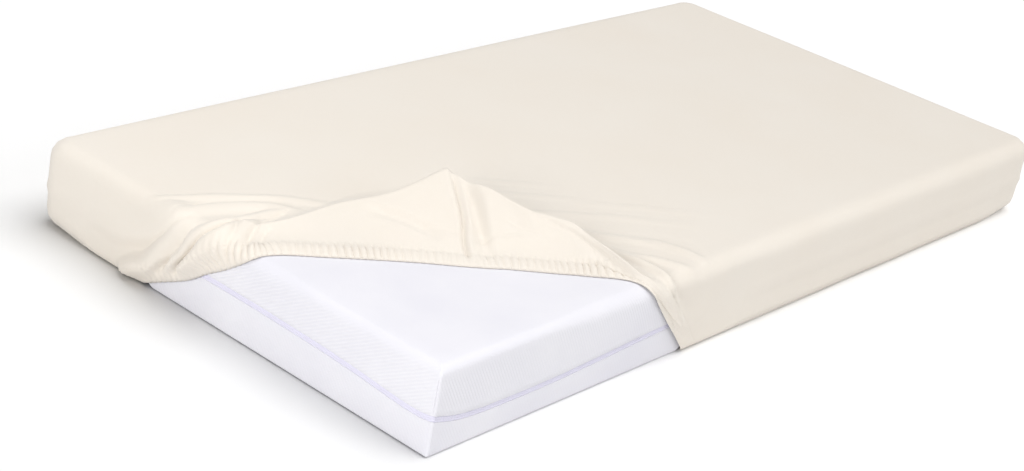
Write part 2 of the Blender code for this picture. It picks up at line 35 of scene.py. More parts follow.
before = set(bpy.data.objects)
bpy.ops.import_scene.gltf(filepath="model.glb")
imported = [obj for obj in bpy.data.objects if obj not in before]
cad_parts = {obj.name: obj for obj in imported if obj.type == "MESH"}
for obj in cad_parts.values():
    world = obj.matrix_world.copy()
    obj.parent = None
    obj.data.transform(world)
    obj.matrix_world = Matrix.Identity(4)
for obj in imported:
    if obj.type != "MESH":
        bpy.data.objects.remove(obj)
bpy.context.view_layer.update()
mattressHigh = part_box("mattress_upper")[1]
halfLength = mattressHigh.x  # half the mattress's long side
halfWidth = mattressHigh.y
topHeight = mattressHigh.z
print("frame loaded")


def smoothStep(value, low, high):
    share = np.clip((value - low) / (high - low), 0.0, 1.0)
    return share * share * (3.0 - 2.0 * share)


def curveThrough(rows, where):
    # a smooth curve through the rows of a table, read at fractions of the way along it
    last = len(rows) - 1
    position = np.clip(where, 0.0, 1.0) * last
    index = np.minimum(position.astype(int), last - 1)
    share = (position - index)[:, None]
    start, end = rows[index], rows[index + 1]
    before = np.where((index == 0)[:, None], 2 * start - end, rows[np.maximum(index - 1, 0)])
    after = np.where((index == last - 1)[:, None], 2 * end - start, rows[np.minimum(index + 2, last)])
    leave, arrive = (end - before) / 2, (after - start) / 2
    hold = start * (1 + 2 * share) * (1 - share) ** 2 + end * share**2 * (3 - 2 * share)
    return hold + leave * share * (1 - share) ** 2 + arrive * share**2 * (share - 1)


def unevenness(x, y, wavelength, seed):
    # five slow waves that cross each other, between about -1 and 1, the same each run
    total = np.zeros(np.broadcast(x, y).shape)
    for step in range(5):
        turn = seed * 1.7 + step * 2.4
        reach = 2 * math.pi / wavelength * (0.7 + 0.25 * step)
        total = total + np.sin((x * math.cos(turn) + y * math.sin(turn)) * reach + seed + step * 1.3)
    return total / 3.2


def quadsBetween(columns, rows):
    # four-sided faces between neighbouring columns of point numbers, from each of these rows to the next
    return [(left[row], right[row], right[after], left[after])
            for left, right in zip(columns, columns[1:]) for row, after in zip(rows, rows[1:])]


def newPiece(name, points, faces, material):
    # a smooth mesh with its faces turned outwards
    data = bpy.data.meshes.new(name)
    data.from_pydata(points.tolist(), [], [[int(index) for index in face] for face in faces])
    piece = bpy.data.objects.new(name, data)
    bpy.context.scene.collection.objects.link(piece)
    bpy.ops.object.select_all(action="DESELECT")
    piece.select_set(True)
    bpy.context.view_layer.objects.active = piece
    bpy.ops.object.mode_set(mode="EDIT")
    bpy.ops.mesh.select_all(action="SELECT")
    bpy.ops.mesh.normals_make_consistent(inside=False)
    bpy.ops.object.mode_set(mode="OBJECT")
    bpy.ops.object.shade_smooth()
    data.materials.append(material)
    return piece


# Materials

def linearColour(hexText):
    channels = [int(hexText[place:place + 2], 16) / 255 for place in (1, 3, 5)]
    return tuple(c / 12.92 if c <= 0.04045 else ((c + 0.055) / 1.055) ** 2.4 for c in channels) + (1.0,)


def newMaterial(name):
    material = bpy.data.materials.new(name)
    material.use_nodes = True
    return material, material.node_tree


def addNode(tree, kind, settings=None, **links):
    # Settings are the node's own properties or its sockets' values. A link names the socket that it feeds, as
    # its name or as _ and its number, and comes from a socket, or from a node's Fac or else its first output.
    # A new material has its shader already.
    node = tree.nodes[kind] if kind == "Principled BSDF" else tree.nodes.new("ShaderNode" + kind)
    for name, value in (settings or {}).items():
        if isinstance(name, int) or name in node.inputs:
            node.inputs[name].default_value = value
        else:
            setattr(node, name, value)
    for name, source in links.items():
        if isinstance(source, bpy.types.Node):
            source = source.outputs["Fac" if "Fac" in source.outputs else 0]
        tree.links.new(source, node.inputs[int(name[1:]) if name[0] == "_" else name])
    return node


def finishMaterial(tree, look, share, raised):
    # the colour between the look's two, the raised pattern and the shader's other values
    colour = addNode(tree, "Mix", {
        "data_type": "RGBA", 6: linearColour(look["colour"]), 7: linearColour(look["shade"])}, _0=share)
    addNode(tree, "Principled BSDF", look["shader"], _0=colour.outputs[2], Normal=raised)


def waveScale(pitch):
    return 2 * math.pi / 20 / pitch  # Blender's wave texture has 20 radians to a unit


jerseyLook = {
    "colour": "#e0d9cf",
    "shade": "#dfd7cc",
    "shader": {"Roughness": 0.92, "Sheen Weight": 0.25, "Sheen Roughness": 0.5, "Specular IOR Level": 0.2},
    "walePitch": 0.0022,  # real wales are 1 mm apart, drawn coarser so that they show
    "coursePitch": 0.00121,
    "knitDepth": 0.00012,
    "slubSize": 0.006,
    "toneSize": 0.16,
    "stitchAway": 0.0205,  # the line of stitches that holds the elastic, from the hem's edge
    "stitchCore": 0.0004,
    "stitchEdge": 0.0013,
    "stitchPitch": 0.0034,
    "stitchDepth": 0.0005,
}


def makeJersey():
    # single-knit cotton jersey, brushed: matt, soft at grazing angles, fine columns of stitches, a faint slub
    material, tree = newMaterial("cottonJersey")
    cloth = addNode(tree, "UVMap", {"uv_map": "cloth"})
    wales, courses = (
        addNode(tree, "TexWave", {"bands_direction": way, "Scale": waveScale(jerseyLook[pitch]),
                                  "Distortion": wander, "Detail": 1.0, "Detail Scale": 2.0}, Vector=cloth)
        for way, pitch, wander in (("Y", "walePitch", 0.6), ("X", "coursePitch", 0.8)))
    knit = addNode(tree, "Math", {"operation": "MULTIPLY"}, _0=wales, _1=courses)
    slub = addNode(tree, "TexNoise", {
        "Scale": 1 / jerseyLook["slubSize"], "Detail": 3.0, "Roughness": 0.6}, Vector=cloth)
    fuzz = addNode(tree, "Math", {"operation": "MULTIPLY_ADD", 1: 0.9}, _0=slub, _2=knit)
    hem = addNode(tree, "UVMap", {"uv_map": "hem"})
    fromHem = addNode(tree, "SeparateXYZ", _0=hem).outputs[1]
    across = addNode(tree, "Math", {"operation": "SUBTRACT", 1: jerseyLook["stitchAway"]}, _0=fromHem)
    away = addNode(tree, "Math", {"operation": "ABSOLUTE"}, _0=across)
    seamLine = addNode(tree, "MapRange", {
        "From Min": jerseyLook["stitchCore"], "From Max": jerseyLook["stitchEdge"], "To Min": 1.0,
        "To Max": 0.0}, Value=away)
    stitches = addNode(tree, "TexWave", {
        "bands_direction": "X", "Scale": waveScale(jerseyLook["stitchPitch"])}, Vector=hem)
    stitched = addNode(tree, "Math", {"operation": "MULTIPLY"}, _0=seamLine, _1=stitches)
    weave = addNode(tree, "Bump", {"Strength": 0.55, "Distance": jerseyLook["knitDepth"]}, Height=fuzz)
    sewn = addNode(tree, "Bump", {"Strength": 0.6, "Distance": jerseyLook["stitchDepth"], "invert": True},
                   Height=stitched, Normal=weave)
    tone = addNode(tree, "TexNoise", {
        "Scale": 1 / jerseyLook["toneSize"], "Detail": 2.0, "Roughness": 0.5}, Vector=cloth)
    grain = addNode(tree, "Math", {"operation": "MULTIPLY_ADD", 1: 0.45}, _0=slub, _2=tone)
    share = addNode(tree, "MapRange", {"From Min": 0.55, "From Max": 0.95}, Value=grain)
    finishMaterial(tree, jerseyLook, share, sewn)
    return material


knitLook = {
    "colour": "#e4e3e7",
    # the darker colour takes both the knit's random tone and the painted shade in the ribs' hollows
    "shade": "#dad9e0",
    "shader": {"Roughness": 0.85, "Sheen Weight": 0.1, "Specular IOR Level": 0.25},
    "ribPitch": 0.0050,  # the width of every rib on the rib map
    "loopPitch": 0.0026,
    "ribDepth": 0.00055,
    "grainSize": 0.0035,
    "toneSize": 1 / 9,
}


def makeMattressKnit():
    # polyester double knit over foam: cool white, matt, with raised diagonal ribs made of small loops
    material, tree = newMaterial("polyesterKnit")
    ribMap = addNode(tree, "UVMap", {"uv_map": "ribs"})
    ribDepthAndShade = addNode(tree, "Attribute", {"attribute_name": "ribDepth"})
    ribs = addNode(tree, "TexWave", {
        "bands_direction": "X", "Scale": waveScale(knitLook["ribPitch"]), "Distortion": 0.5, "Detail": 1.0,
        "Detail Scale": 1.5}, Vector=ribMap)
    loops = addNode(tree, "TexWave", {
        "bands_direction": "Y", "Scale": waveScale(knitLook["loopPitch"]), "Distortion": 0.4}, Vector=ribMap)
    loopShare = addNode(tree, "Math", {"operation": "MULTIPLY_ADD", 1: 0.45, 2: 0.55}, _0=loops)
    ribbed = addNode(tree, "Math", {"operation": "MULTIPLY"}, _0=ribs, _1=loopShare)
    faded = addNode(tree, "Math", {"operation": "MULTIPLY"}, _0=ribbed, _1=ribDepthAndShade)
    place = addNode(tree, "TexCoord").outputs["Object"]
    grain = addNode(tree, "TexNoise", {
        "Scale": 1 / knitLook["grainSize"], "Detail": 3.0, "Roughness": 0.6}, Vector=place)
    heights = addNode(tree, "Math", {"operation": "MULTIPLY_ADD", 1: 0.25}, _0=grain, _2=faded)
    raised = addNode(tree, "Bump", {"Strength": 0.7, "Distance": knitLook["ribDepth"]}, Height=heights)
    tone = addNode(tree, "TexNoise", {"Scale": 1 / knitLook["toneSize"], "Detail": 3.0}, Vector=place)
    # painted shade: the rib hollows are painted darker and the crests lighter, following the ribs on top of
    # their bump, so faces with faint or no ribs (the top, the front side) come out a touch darker
    toneAndRibShade = addNode(tree, "Math", {"operation": "MULTIPLY_ADD", 1: -0.35}, _0=faded, _2=tone)
    share = addNode(tree, "MapRange", {"From Min": 0.1, "From Max": 0.7}, Value=toneAndRibShade)
    finishMaterial(tree, knitLook, share, raised)
    return material


zipLook = {
    "colour": "#dddbea",
    "shade": "#d6d3e4",
    "shader": {"Roughness": 0.55},
    "weavePitch": 0.0016,
    "weaveDepth": 0.0002,
    "toneSize": 1 / 60,
}


def makeZipTape():
    # woven nylon tape over a coil: lilac, a slight satin, with a fine cross rib
    material, tree = newMaterial("wovenNylonTape")
    place = addNode(tree, "TexCoord").outputs["Object"]
    weave = addNode(tree, "TexWave", {
        "bands_direction": "DIAGONAL", "Scale": waveScale(zipLook["weavePitch"]), "Distortion": 0.4},
        Vector=place)
    raised = addNode(tree, "Bump", {"Strength": 0.5, "Distance": zipLook["weaveDepth"]}, Height=weave)
    tone = addNode(tree, "TexNoise", {"Scale": 1 / zipLook["toneSize"], "Detail": 2.0}, Vector=place)
    finishMaterial(tree, zipLook, tone, raised)
    return material


# Camera

photoView = {
    "place": (-1.9401, -1.3492, 1.0098),
    "right": (0.64734, -0.74345, 0.16804),
    "up": (0.21200, 0.38739, 0.89721),
    "forward": (0.73212, 0.54518, -0.40839),
    "lens": 72.13,  # millimetres, on a 36 mm sensor
}


def makeCamera():
    data = bpy.data.cameras.new("photoCamera")
    data.sensor_width = 36.0
    data.lens = photoView["lens"]
    camera = bpy.data.objects.new("photoCamera", data)
    bpy.context.scene.collection.objects.link(camera)
    right, up, forward = (Vector(photoView[name]) for name in ("right", "up", "forward"))
    turn = Matrix((right, up, -forward)).transposed().to_4x4()
    camera.matrix_world = Matrix.Translation(photoView["place"]) @ turn
    bpy.context.scene.camera = camera


# The sheet

sheet = {
    "sideGap": 0.0020,  # from the mattress's side to the cloth's inner face
    "topGap": 0.0004,
    "floor": 0.0015,  # the height of the cloth's inner face where it runs under
    "fan": 0.028,  # the cloth turns each corner in a fan of this radius
    "topBend": 0.017,
    "bottomBend": 0.020,  # at the covered corners, and away from them the lower edge is sharper
    "sideBottomBend": 0.006,
    "roundFrom": 0.02,
    "roundWithin": 0.11,
    "skirt": 0.150,  # the cloth's length past the mattress's top
    "band": 0.022,
    "bandShare": 0.45,  # the most of a short panel that the band takes up
    "bandPuff": 0.0036,
    "bandCurl": 0.62,
    "hemPress": 0.0014,  # how far the hem's edge is drawn in against the mattress's side
    "hemPressReach": 0.006,
    "settledBelow": 0.008,
    "deepest": 0.0003,  # how far a groove may go below the cloth's own face
    "hemInset": 0.049,  # from the mattress's side to the hem underneath it
    "hemCorner": 0.045,
    "flatX": 0.450,  # where the covered sides' cloth gives way to one flat face on top
    "flatY": 0.170,
    "flatCorner": 0.012,
    "coveredFall": 0.070,
    "thickness": 0.0012,
}
# Rows run from the hem over the band, the loose panel or the side, the fold behind it and the flat top.
grid = {
    "openStations": 420,
    "bandRows": 7,
    "skirtRows": 36,
    "behindRows": 24,
    "behindLeast": 0.055,  # the least and the greatest length that the rows behind the edge cover
    "behindShare": 0.6,
    "behindCrowding": 1.15,
    "flatRows": 50,
    "fineRows": 11,  # rows from the hem that have twice the columns, for the gathers
    "coveredStep": 3,  # the covered sides keep one row in three
    "coveredColumns": ((42, 24, 42, 9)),
    "cornerColumns": 12,
    "curveSteps": 400,
    "foldSteps": 40,
}
coreX = halfLength + sheet["sideGap"] - sheet["fan"]
coreY = halfWidth + sheet["sideGap"] - sheet["fan"]
turnRadius = sheet["fan"] - sheet["topBend"]
clothTop = topHeight + sheet["topGap"]
edgeEnd = sheet["topBend"] * math.pi / 2

# Sections across the open corner, from the left side to the peak and from the peak to the front side.
# edge: the ridge of the loose panel, and rise: its height. roll: how far the panel is drawn back under it.
# fall: how far behind it the cloth is down again. round: 0 for a sharp ridge, 1 for a soft one. sag: how
# hollow the panel is, or bulging if below 0. free: how much of the elastic's gathers and puff the hem has.
# inner: where the flat top starts.
sectionColumns = ("hemA", "hemB", "edgeA", "edgeB", "rise", "roll", "fall", "round", "sag", "free",
                  "innerA", "innerB")
sectionUnits = (1000,) * 7 + (1,) * 3 + (1000,) * 2
leftSections = np.array((
    (-735, 215, -612, 212, 0, 0, 60, 0, 0, 0, -432, 150),
    (-727, 185, -610, 180, 0, 0, 60, 0, 0, 0, -416, 143),
    (-711, 160, -608, 150, 0, 0, 60, 0, 0, 0, -403, 138),
    (-693, 122, -604, 116, 1, 0, 60, 0, 0, 0.3, -391, 133),
    (-676, 87, -600, 84, 2, 0, 60, 0, 0, 0.8, -380, 128),
    (-659, 53, -594, 60, 3, 0, 60, 0, 0, 1, -369, 123),
    (-640, 26, -584, 40, 4, 0, 60, 0, 0.1, 1, -358, 118),
    (-618, -8, -572, 20, 5, 0, 60, 0, 0.2, 1, -345, 112),
    (-596, -33, -557, 7, 7, 0, 60, 0.1, 0.3, 1, -333, 106),
    (-566, -47, -538, 0, 10, 0, 62, 0.2, 0.3, 1, -319, 98),
    (-530, -73, -505, -5, 13, 0, 68, 0.2, 0.2, 1, -303, 90),
    (-494, -99, -455, -10, 18, 0, 80, 0.1, 0.1, 1, -284, 79),
    (-452, -131, -403, -38, 32, 0, 95, 0, 0, 1, -260, 65),
    (-412, -165, -339, -53, 53, 0, 115, 0, 0, 1, -234, 49),
)) / sectionUnits
rightSections = np.concatenate([leftSections[-1:], np.array((
    (-405, -170, -336, -60, 48.5, 0, 110, 0, 0, 1, -230, 45),
    (-398, -176, -331, -80, 47.5, 0, 110, 0, 0.1, 1, -225, 40),
    (-389, -182, -325, -97, 45.5, 0, 105, 0, 0.1, 1, -220, 35),
    (-378, -190, -319, -111, 43, 0, 100, 0.1, 0.2, 1, -214, 30),
    (-364, -202, -314, -132, 39.5, 0, 90, 0.2, 0.2, 1, -203, 20),
    (-350, -214, -307, -153, 36, 1, 75, 0.3, 0.2, 1, -192, 10),
    (-336, -226, -293, -163, 32, 1, 60, 0.6, 0.1, 1, -181, 0),
    (-322, -237, -282, -178, 30, 2, 46, 0.9, -0.1, 1, -170, -10),
    (-312, -246, -275, -190, 28, 2, 40, 1, -0.3, 1, -162, -18),
    (-302, -254, -274, -211, 23, 3, 34, 1, -0.45, 1, -155, -26),
    (-288, -266, -273, -243, 18, 3, 28, 1, -0.4, 0.8, -143, -38),
    (-279, -277, -271, -265, 12.5, 1, 22, 1, -0.3, 0.5, -134, -48),
    (-274, -290, -268, -281, 7, 0, 20, 1, -0.4, 0.35, -124, -56),
    (-266, -303, -261, -297, 4, 0, 18, 1, 0, 0.15, -114, -64),
    (-250, -323, -245, -316, 4, 0, 18, 1, 0, 0.15, -98, -76),
    (-226, -350, -219, -341, 4, 0, 20, 1, 0, 0.15, -78, -89),
    (-207, -370, -199, -358, 3, 0, 24, 1, 0, 0.15, -62, -97),
    (-190, -389, -176, -363, 1.5, 0, 40, 0.5, 0, 0.1, -46, -102),
    (-169, -411, -146, -351, 0.5, 0, 60, 0, 0, 0.05, -28, -108),
    (-140, -427, -110, -328, 0, 0, 70, 0, 0, 0, 0, -113),
    (-100, -435, -70, -312, 0, 0, 70, 0, 0, 0, 30, -116),
)) / sectionUnits])

# Folds, given one by one. Each has its height, its reach on the side away from the hem and on the hem's side,
# how crisp those two feet are, and places along it, with the share of its height where that isn't 1.
folds = {
    "sideSwell": (8, 40, 18, 0, 0.3, (
        (-652, 230, 0), (-650, 190, 0.5), (-647, 159, 0.9), (-636, 129), (-623, 106), (-609, 88),
        (-598, 79, 0.9), (-585, 75, 0.5), (-570, 72, 0))),
    "upperArc": (2.6, 8, 12, 0.4, 0.1, (
        (-602, 133, 0), (-590, 117, 0.7), (-560, 103), (-535, 92), (-510, 77), (-473, 54, 0.9),
        (-445, 25, 0.6), (-425, 4, 0))),
    "mainArc": (5.5, 9, 22, 0.5, 0, (
        (-604, 80, 0.3), (-590, 77, 0.8), (-573, 74), (-548, 68), (-518, 55), (-497, 41, 0.8),
        (-485, 26, 0.4), (-476, 14, 0))),
    "outerPleat": (11, 16, 30, 0.4, 0, (
        (-694, 158, 0), (-688, 146, 0.8), (-675, 128), (-662, 109), (-634, 88), (-612, 72, 0.8),
        (-602, 66, 0.5), (-590, 60, 0))),
    "middlePleat": (10.5, 12, 9, 0.4, 0.6, (
        (-660, 86, 0.2), (-648, 72, 0.9), (-636, 62), (-625, 54), (-611, 46), (-603, 40, 0.9),
        (-595, 34, 0.8), (-581, 29, 0.7), (-550, 30, 0.55), (-515, 32, 0.4), (-496, 29, 0.25),
        (-480, 24, 0))),
    "innerPleat": (12, 12, 26, 0.4, 0, (
        (-654, 66, 0.2), (-643, 55, 0.9), (-631, 44), (-608, 28), (-600, 21), (-590, 16, 0.9),
        (-567, 18, 0.6), (-545, 18, 0.3), (-525, 17, 0))),
    "seamRidge": (2.6, 6, 6, 0.2, 0.2, (
        (-337, -69, 0.4), (-350, -94), (-363, -113), (-376, -129), (-387, -142), (-394, -153, 0.6),
        (-400, -164, 0))),
    "panelBulge": (3.4, 20, 26, 0, 0, (
        (-324, -90, 0), (-332, -112, 0.8), (-336, -130), (-341, -148), (-349, -166, 0))),
    "lowBulge": (2.8, 8, 10, 0.3, 0.1, (
        (-352, -144, 0), (-346, -153), (-340, -160), (-333, -167, 0.9), (-323, -176, 0))),
    "secondEdge": (5, 5, 10, 0.8, 0, (
        (-244, -216, 0), (-240, -232, 0.7), (-236, -246), (-234, -258), (-233, -270), (-234, -282),
        (-236, -297), (-233, -309), (-226, -321), (-214, -340, 0.8), (-203, -354, 0))),
    "smallRidge": (3.8, 7, 15, 0.3, 0, (
        (-240, -196, 0), (-239, -214, 0.8), (-233, -232), (-222, -248), (-212, -260), (-205, -272),
        (-199, -284, 0.8), (-190, -294, 0.5), (-180, -300, 0))),
    "drawnRidge": (4.2, 10, 15, 0.4, 0, (
        (-240, -152, 0), (-230, -176, 0.6), (-217, -193, 0.7), (-204, -206, 0.6), (-190, -219, 0.7),
        (-175, -238, 0.9), (-169, -255), (-164, -270, 0.9), (-163, -286, 0.5), (-166, -302, 0))),
    "topPullOne": (1.4, 5, 18, 0.5, 0, (
        (-290, -78, 0), (-268, -90, 0.8), (-244, -106), (-220, -123), (-196, -140), (-159, -166, 0.9),
        (-127, -196, 0.7), (-80, -233, 0))),
    "topPullTwo": (0.9, 5, 14, 0.4, 0, (
        (-200, -98, 0), (-160, -126, 0.7), (-117, -159), (-77, -194, 0.8), (-40, -222, 0))),
    "topPullThree": (1.1, 5, 14, 0.4, 0, (
        (-262, -36, 0), (-240, -52, 0.9), (-213, -72), (-187, -94, 0.9), (-150, -118, 0))),
    "topPullFour": (0.9, 5, 14, 0.4, 0, (
        (-240, -6, 0), (-214, -30, 0.9), (-186, -52, 0.8), (-150, -78, 0))),
}
grooves = {
    "seamGroove": (4.8, 5, 6, 0.2, 0.3, (
        (-340, -68, 0.6), (-343, -74), (-354, -91), (-363, -105), (-374, -118), (-386, -130),
        (-395, -143, 0.8), (-402, -156, 0.4), (-408, -166, 0))),
    "seamValley": (6.4, 11, 13, 0, 0, (
        (-330, -70, 0), (-334, -80, 0.6), (-338, -91), (-344, -105), (-352, -119), (-360, -132),
        (-368, -145, 0.8), (-380, -160, 0.3), (-388, -170, 0))),
    "bulgeBack": (1.6, 7, 5, 0, 0.3, (
        (-337, -134, 0), (-331, -147), (-324, -158), (-316, -169, 0.8), (-307, -179, 0))),
    "underRoll": (2.6, 2.2, 12, 0.7, 0, (
        (-312, -150, 0), (-304, -158, 0.3), (-297, -164, 0.6), (-290, -174, 0.9), (-286, -184),
        (-281, -196), (-278.5, -214), (-277.5, -232), (-276.5, -250), (-274.5, -267, 0.8),
        (-270, -281, 0.3), (-266, -292, 0))),
    "panelHollow": (4, 9, 13, 0.2, 0, (
        (-437, -32, 0), (-429, -48, 0.8), (-422, -62), (-415, -77), (-410, -91, 0.9), (-407, -103, 0.7),
        (-406, -118, 0))),
    "secondHollow": (1.6, 5, 6, 0, 0.2, (
        (-414, -80, 0), (-407, -92, 0.8), (-399, -104), (-391, -115, 0.7), (-384, -124, 0))),
    "betweenArcs": (1.2, 5, 5, 0, 0, (
        (-596, 86, 0.4), (-572, 86), (-547, 82), (-514, 69), (-492, 57), (-478, 36, 0.8),
        (-459, 25, 0))),
    "tuckOne": (3, 5, 6, 0.2, 0.3, (
        (-603, -5, 0.2), (-598, 0), (-592, 5), (-581, 13), (-566, 24, 0.6), (-556, 31, 0))),
    "tuckTwo": (3.2, 6, 6, 0, 0.3, (
        (-600, -24, 0.2), (-593, -17), (-585, -11), (-570, 0), (-558, 6, 0.9), (-543, 16, 0.7),
        (-528, 27, 0))),
    "tuckThree": (2, 5, 5, 0, 0.3, (
        (-578, -25, 0.2), (-571, -18), (-560, -9), (-553, -6, 0.6), (-546, -1, 0))),
    "ridgeFoot": (3, 5, 7, 0, 0.2, (
        (-552, 7, 0), (-541, 13), (-526, 18), (-514, 22, 0.8), (-501, 25, 0.4), (-488, 27, 0))),
    "outerPocket": (7, 7, 6, 0.2, 0.6, (
        (-672, 100, 0.4), (-663, 92), (-653, 84), (-645, 76, 0.6), (-636, 69, 0))),
    "innerPocket": (7.5, 5, 4, 0.2, 0.5, (
        (-657, 70, 0.5), (-651, 65), (-644, 61), (-637, 56, 0.7), (-628, 49, 0.3), (-612, 39, 0.1),
        (-600, 34, 0))),
    "bandPocket": (2.2, 4, 4, 0, 0, (
        (-612, 2, 0), (-605, -7), (-601, -17), (-595, -26, 0))),
    "fineCrease": (2.2, 4, 3, 0, 0.4, (
        (-200, -204, 0), (-190, -215, 0.8), (-184, -225), (-179, -236), (-175, -249), (-173, -262),
        (-172, -280, 0.9), (-171, -297, 0.7), (-167, -314, 0))),
    "backCrease": (1.8, 7, 6, 0, 0.2, (
        (-228, -146, 0), (-214, -171, 0.8), (-205, -182), (-195, -192), (-185, -203), (-174, -213),
        (-157, -227), (-148, -240, 0.9), (-139, -251, 0.7), (-141, -265, 0.5), (-149, -282, 0))),
    "secondBack": (2.2, 4, 3, 0, 0.3, (
        (-231, -226, 0), (-228, -242), (-225, -258), (-224, -270), (-225, -284), (-226, -298),
        (-220, -312, 0.8), (-212, -325, 0))),
    "bandGroove": (1.6, 3, 3, 0, 0.2, (
        (-270, -294, 0), (-264, -303), (-255, -311), (-240, -325), (-227, -337), (-212, -350, 0.7),
        (-200, -362, 0))),
    "secondPocket": (5, 5, 4, 0.2, 0.3, (
        (-240, -304, 0), (-234, -311, 0.9), (-228, -319), (-222, -328), (-215, -339, 0.6),
        (-210, -346, 0))),
    "shortCrease": (2, 5, 4, 0, 0.3, (
        (-379, -138, 0), (-370, -141), (-363, -143), (-355, -146, 0.7), (-348, -149, 0))),
}


def foldHeight(row, a, b):
    # one fold's height over the unfolded cloth
    height, farReach, nearReach, crispFar, crispNear, path = row
    path = np.array([(*place, 1)[:3] for place in path]) / (1000, 1000, 1)
    line = curveThrough(path, np.linspace(0.0, 1.0, grid["foldSteps"]))
    best = np.full(a.shape, 1e9)
    side = np.zeros(a.shape)
    share = np.zeros(a.shape)
    for start, end in zip(line, line[1:]):
        run = end[:2] - start[:2]
        along = np.clip(((a - start[0]) * run[0] + (b - start[1]) * run[1]) / (run @ run), 0.0, 1.0)
        awayA = a - start[0] - along * run[0]
        awayB = b - start[1] - along * run[1]
        away = np.hypot(awayA, awayB)
        nearer = away < best
        best = np.where(nearer, away, best)
        side = np.where(nearer, run[0] * awayB - run[1] * awayA, side)
        share = np.where(nearer, start[2] + (end[2] - start[2]) * along, share)
    crisp = np.where(side > 0, crispFar, crispNear)
    reach = np.clip(best / np.where(side > 0, farReach / 1000, nearReach / 1000), 0.0, 1.0)
    bell = 0.5 + 0.5 * np.cos(math.pi * reach)
    arch = np.cos(math.pi / 2 * reach)
    return height / 1000 * np.maximum(share, 0.0) * (bell * (1 - crisp) + arch * crisp)


def foldLift(a, b):
    # folds that meet keep the higher one, and the grooves are pressed into them
    lift = np.zeros(a.shape)
    for row in folds.values():
        lift = np.maximum(lift, foldHeight(row, a, b))
    for row in grooves.values():
        lift = lift - foldHeight(row, a, b)
    return lift


gathers = {
    "pitch": 0.0078,
    "height": 0.0017,
    "start": 0.003,  # from the hem's edge to the ribs' full height
    "fadeFrom": 0.7,  # shares of the band's width
    "fadeTo": 1.6,
    "roundness": 0.03,  # 0 gives a sharp crease between two ribs
    "seamReach": 0.03,  # the ribs are weaker this near to the corner's seam
    "seamShare": 0.8,
    "panelFade": (0.3, 0.6),  # shares of the way over the loose panel
}


def gatherLift(along, away):
    # the elastic's ribs, square to the hem, with narrow creases between them, their pitch and height uneven
    phase = math.pi * along / gathers["pitch"] + 0.55 * np.sin(along * 61) + 0.4 * np.sin(along * 23 + 1)
    strength = 0.78 + 0.22 * np.sin(along * 47 + 2)
    fadeFrom, fadeTo = (sheet["band"] * gathers[name] for name in ("fadeFrom", "fadeTo"))
    onBand = smoothStep(away, 0.0, gathers["start"]) * (1 - smoothStep(away, fadeFrom, fadeTo))
    ribs = 2 * np.sqrt(np.sin(phase) ** 2 + gathers["roundness"]) - 1.2
    return gathers["height"] * strength * onBand * ribs


def coveredCornerNear(x, y):
    # 1 at the three covered corners, 0 away from them
    near = np.zeros(np.broadcast(x, y).shape)
    for cornerX, cornerY in ((1, -1), (1, 1), (-1, 1)):
        away = np.hypot(x - cornerX * halfLength, y - cornerY * halfWidth)
        near = np.maximum(near, 1.0 - smoothStep(away, sheet["roundFrom"], sheet["roundWithin"]))
    return near


def lowerEdge(x, y):
    # the bend at the cloth's lower edge, and the distances past the top edge where it starts and ends
    sharp = sheet["sideBottomBend"]
    bend = sharp + (sheet["bottomBend"] - sharp) * coveredCornerNear(x, y)
    start = edgeEnd + clothTop - sheet["floor"] - sheet["topBend"] - bend
    return bend, start, start + bend * math.pi / 2


def wrapCloth(a, b):
    # lays places on the unfolded mattress round its edges: the inner face's point, and the way out of it
    topBend = sheet["topBend"]
    coreA, coreB = np.clip(a, -coreX, coreX), np.clip(b, -coreY, coreY)
    bottomBend, sideEnd, underStart = lowerEdge(coreA, coreB)
    reach = np.hypot(a - coreA, b - coreB)
    way = np.stack([a - coreA, b - coreB], -1) / np.maximum(reach, 1e-9)[..., None]
    past = reach - turnRadius
    edge = np.clip(past, 0.0, edgeEnd) / topBend
    side = np.clip(past - edgeEnd, 0.0, sideEnd - edgeEnd)
    foot = np.clip((past - sideEnd) / bottomBend, 0.0, math.pi / 2)
    under = np.maximum(past - underStart, 0.0)
    out = topBend * np.sin(edge) - bottomBend * (1.0 - np.cos(foot)) - under
    drop = topBend * (1.0 - np.cos(edge)) + side + bottomBend * np.sin(foot)
    tilt = math.pi / 2 - edge - foot
    beyond = (past > 0.0)[..., None]
    bent = np.stack([coreA, coreB], -1) + way * (turnRadius + out)[..., None]
    plan = np.where(beyond, bent, np.stack([a, b], -1))
    point = np.concatenate([plan, (clothTop - drop)[..., None]], -1)
    level = np.where(beyond, way * np.cos(tilt)[..., None], 0.0)
    rise = np.where(past > 0.0, np.sin(tilt), 1.0)
    return point, np.concatenate([level, rise[..., None]], -1)


def evenShares(count):
    return np.linspace(0.0, 1.0, count + 1)[None, :]


def rowDistances(sections):
    # distances from the hem to the panel's edge, and then on to the flat cloth, a row for each section
    first = np.hypot(sections["edgeA"] - sections["hemA"], sections["edgeB"] - sections["hemB"])[:, None]
    second = np.hypot(sections["innerA"] - sections["edgeA"], sections["innerB"] - sections["edgeB"])[:, None]
    band = np.minimum(sheet["band"], first * sheet["bandShare"])
    onBand = evenShares(grid["bandRows"])[:, :-1] * band
    onSkirt = band + evenShares(grid["skirtRows"]) * (first - band)
    fall = np.minimum(np.maximum(sections["fall"][:, None], grid["behindLeast"]),
                      second * grid["behindShare"])
    behind = evenShares(grid["behindRows"])[:, 1:] ** grid["behindCrowding"] * fall
    level = fall + evenShares(grid["flatRows"])[:, 1:] * (second - fall)
    near = np.concatenate([onBand, onSkirt, np.repeat(first, behind.shape[1] + level.shape[1], 1)], 1)
    far = np.concatenate([np.zeros((len(first), onBand.shape[1] + onSkirt.shape[1])), behind, level], 1)
    return first, second, near, far


